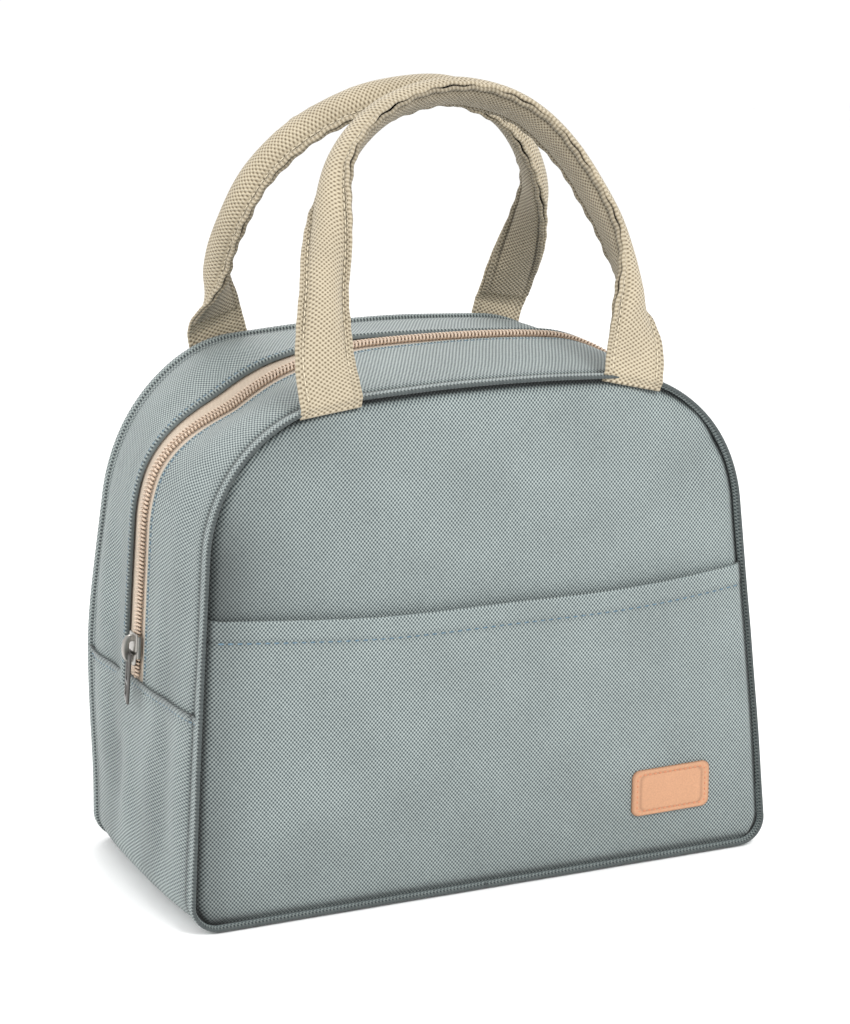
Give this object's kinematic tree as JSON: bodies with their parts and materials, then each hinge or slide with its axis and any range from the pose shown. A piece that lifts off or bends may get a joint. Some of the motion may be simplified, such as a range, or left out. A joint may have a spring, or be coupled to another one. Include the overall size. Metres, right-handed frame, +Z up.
{
  "type": "insulated lunch bag",
  "caption": "Soft insulated lunch bag with an arched zip top that opens front and back, an open front pocket and two webbing handles.",
  "frame": {"origin": "middle of the base, on the surface the bag stands on", "axes": "+X along the width, to the right seen from the front; -Y towards the front, the side with the pocket; +Z up"},
  "size_m": [0.2434, 0.1356, 0.3069],
  "materials": {
    "outer_fabric": "woven matte",
    "piping": "woven matte",
    "foam": "matte closed-cell foam",
    "lining": "silvered film, satin",
    "webbing": "coarse woven matte",
    "zipper_tape": "fine knitted matte",
    "zipper_coil": "satin nylon",
    "slider_metal": "bright nickel",
    "pull_metal": "dark gunmetal",
    "leather": "smooth matte"
  },
  "bodies": {
    "bag": {"base_and_side_gusset": "outer_fabric", "base_and_side_foam": "foam", "base_and_side_lining": "lining", "front_panel_lower": "outer_fabric", "front_foam_lower": "foam", "front_lining_lower": "lining", "front_piping_lower": "piping", "back_panel_lower": "outer_fabric", "back_foam_lower": "foam", "back_lining_lower": "lining", "back_piping_lower": "piping", "front_pocket_lower": "outer_fabric", "leather_patch": "leather"},
    "front_half": {"front_panel_upper": "outer_fabric", "front_foam_upper": "foam", "front_lining_upper": "lining", "front_zipper_gusset": "outer_fabric", "front_gusset_foam": "foam", "front_gusset_lining": "lining", "front_zipper_tape": "zipper_tape", "front_zipper_coil": "zipper_coil", "front_piping_upper": "piping", "front_handle_left_sewn_end": "webbing", "front_handle_right_sewn_end": "webbing", "front_pocket_upper": "outer_fabric", "front_pocket_hem": "outer_fabric"},
    "back_half": {"back_panel_upper": "outer_fabric", "back_foam_upper": "foam", "back_lining_upper": "lining", "back_zipper_gusset": "outer_fabric", "back_gusset_foam": "foam", "back_gusset_lining": "lining", "back_zipper_tape": "zipper_tape", "back_zipper_coil": "zipper_coil", "back_piping_upper": "piping", "back_handle_left_sewn_end": "webbing", "back_handle_right_sewn_end": "webbing"},
    "front_handle": {"front_handle_outer_webbing": "webbing", "front_handle_inner_webbing": "webbing"},
    "back_handle": {"back_handle_outer_webbing": "webbing", "back_handle_inner_webbing": "webbing"},
    "zipper_slider": {"zipper_slider_body": "slider_metal"},
    "zipper_pull": {"zipper_pull_frame": "pull_metal"}
  },
  "joints": [
    {"name": "front_half_fold", "type": "hinge", "parent": "bag", "child": "front_half", "pos_m": [0, -0.0697, 0.083], "axis": [1, 0, 0], "range_deg": [0, 20]},
    {"name": "back_half_fold", "type": "hinge", "parent": "bag", "child": "back_half", "pos_m": [0, 0.064, 0.083], "axis": [-1, 0, 0], "range_deg": [0, 20]},
    {"name": "front_handle_swing", "type": "hinge", "parent": "front_half", "child": "front_handle", "pos_m": [0, -0.0649, 0.19941], "axis": [1, 0, 0], "range_deg": [0, 190]},
    {"name": "back_handle_swing", "type": "hinge", "parent": "back_half", "child": "back_handle", "pos_m": [0, 0.0649, 0.19941], "axis": [-1, 0, 0], "range_deg": [0, 190]},
    {"name": "zipper_slider_travel", "type": "slide", "parent": "front_half", "child": "zipper_slider", "axis": [0.0698, 0, 0.9976], "range_m": [0, 0.04]},
    {"name": "zipper_pull_swing", "type": "hinge", "parent": "zipper_slider", "child": "zipper_pull", "pos_m": [-0.11993, 0, 0.09402], "axis": [0, 1, 0], "range_deg": [0, 170]}
  ]
}
